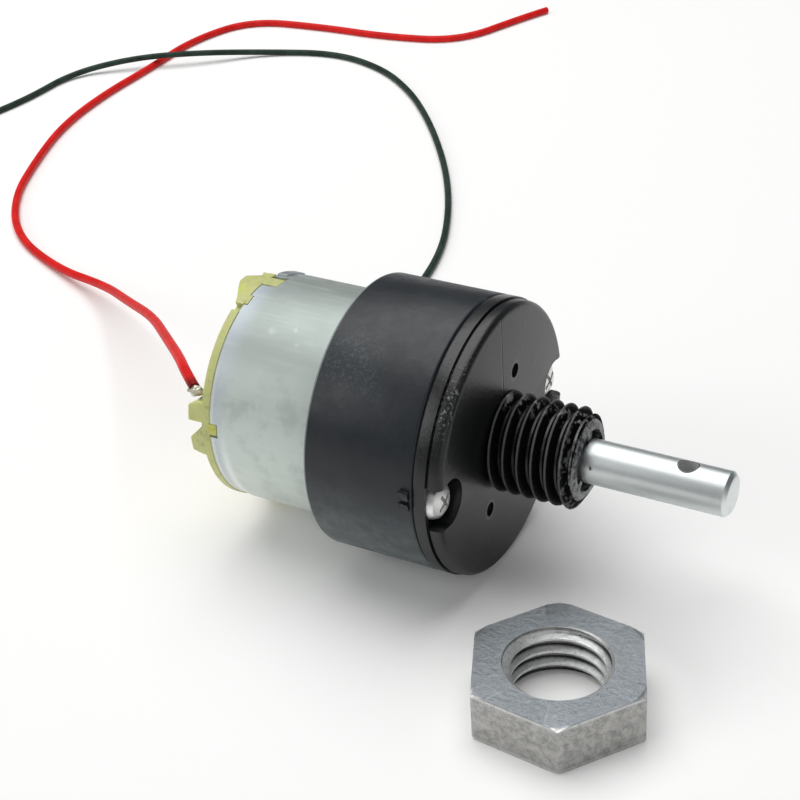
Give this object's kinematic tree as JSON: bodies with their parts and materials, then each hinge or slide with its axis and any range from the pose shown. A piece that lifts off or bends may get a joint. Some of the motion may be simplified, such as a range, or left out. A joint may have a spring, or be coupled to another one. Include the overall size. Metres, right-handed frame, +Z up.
{
  "type": "dc gear motor",
  "caption": "Small DC gear motor with a round black gearbox, a threaded mounting boss with its hex nut, a cross-drilled central output shaft and two soldered leads.",
  "frame": {"origin": "on the output shaft's axis, where the free shaft leaves the end of the threaded boss", "axes": "+X along the shaft, out of the gearbox towards its tip; +Z up, with the part lying on the round side of its gearbox"},
  "size_m": [0.2128, 0.2325, 0.038],
  "materials": {
    "black_housing": "satin",
    "zinc_can": "satin",
    "nylon_cap": "satin, slightly translucent",
    "shaft_steel": "ground and bright",
    "screw_steel": "bright zinc plate",
    "pin_steel": "ground",
    "gear_steel": "sintered",
    "gear_nylon": "moulded",
    "sintered_bronze": "sintered, oiled",
    "pinion_brass": "cut",
    "ferrite": "pressed, matt",
    "spring_steel": "drawn",
    "core_steel": "stamped sheets",
    "copper_winding": "enamelled",
    "commutator_copper": "turned",
    "hub_plastic": "moulded phenolic",
    "carbon": "pressed carbon",
    "bronze_spring": "rolled",
    "terminal_brass": "tinned brass",
    "solder": "solder, dull",
    "red_insulation": "satin PVC",
    "dark_insulation": "satin PVC",
    "washer_fibre": "fibre",
    "nut_zinc": "die-cast zinc, matt grey"
  },
  "bodies": {
    "gearbox": {"gearbox_cup": "black_housing", "gearbox_lid": "black_housing", "shaft_bush": "sintered_bronze", "lid_screws": "screw_steel", "motor_screws": "screw_steel", "gear_pins": "pin_steel", "motor_can": "zinc_can", "front_bearing": "sintered_bronze", "rear_bearing": "sintered_bronze", "field_magnets": "ferrite", "magnet_springs": "spring_steel", "end_cap": "nylon_cap", "terminals": "terminal_brass", "brushes": "carbon", "brush_arms": "bronze_spring", "solder_joints": "solder", "red_wire": "red_insulation", "dark_wire": "dark_insulation"},
    "armature": {"motor_shaft": "pin_steel", "motor_pinion": "pinion_brass", "armature_core": "core_steel", "armature_coils": "copper_winding", "commutator_hub": "hub_plastic", "commutator_segments": "commutator_copper", "rotor_washers": "washer_fibre"},
    "first_gear": {"first_gear": "gear_nylon"},
    "second_gear": {"second_gear": "gear_steel"},
    "third_gear": {"third_gear": "gear_steel"},
    "output": {"output_shaft": "shaft_steel", "output_gear": "gear_steel", "thrust_washer": "spring_steel"},
    "nut": {"mounting_nut": "nut_zinc"}
  },
  "joints": [
    {"name": "armature_spin", "type": "hinge", "parent": "gearbox", "child": "armature", "pos_m": [-0.018, 0, 0], "axis": [1, 0, 0], "continuous": true},
    {"name": "first_gear_spin", "type": "hinge", "parent": "gearbox", "child": "first_gear", "pos_m": [-0.018, 0.00356, 0.00881], "axis": [1, 0, 0], "continuous": true},
    {"name": "second_gear_spin", "type": "hinge", "parent": "gearbox", "child": "second_gear", "pos_m": [-0.018, 0, 0], "axis": [1, 0, 0], "continuous": true},
    {"name": "third_gear_spin", "type": "hinge", "parent": "gearbox", "child": "third_gear", "pos_m": [-0.018, -0.00503, -0.00806], "axis": [1, 0, 0], "continuous": true},
    {"name": "output_spin", "type": "hinge", "parent": "gearbox", "child": "output", "pos_m": [-0.018, 0, 0], "axis": [1, 0, 0], "continuous": true},
    {"name": "nut_lift", "type": "slide", "parent": "gearbox", "child": "nut", "axis": [0, 0, 1], "range_m": [0, 0.03]}
  ],
  "couplings": [
    {"joint": "first_gear_spin", "follows": "armature_spin", "ratio": -0.35714},
    {"joint": "second_gear_spin", "follows": "armature_spin", "ratio": 0.12755},
    {"joint": "third_gear_spin", "follows": "armature_spin", "ratio": -0.045554},
    {"joint": "output_spin", "follows": "armature_spin", "ratio": 0.016269}
  ]
}
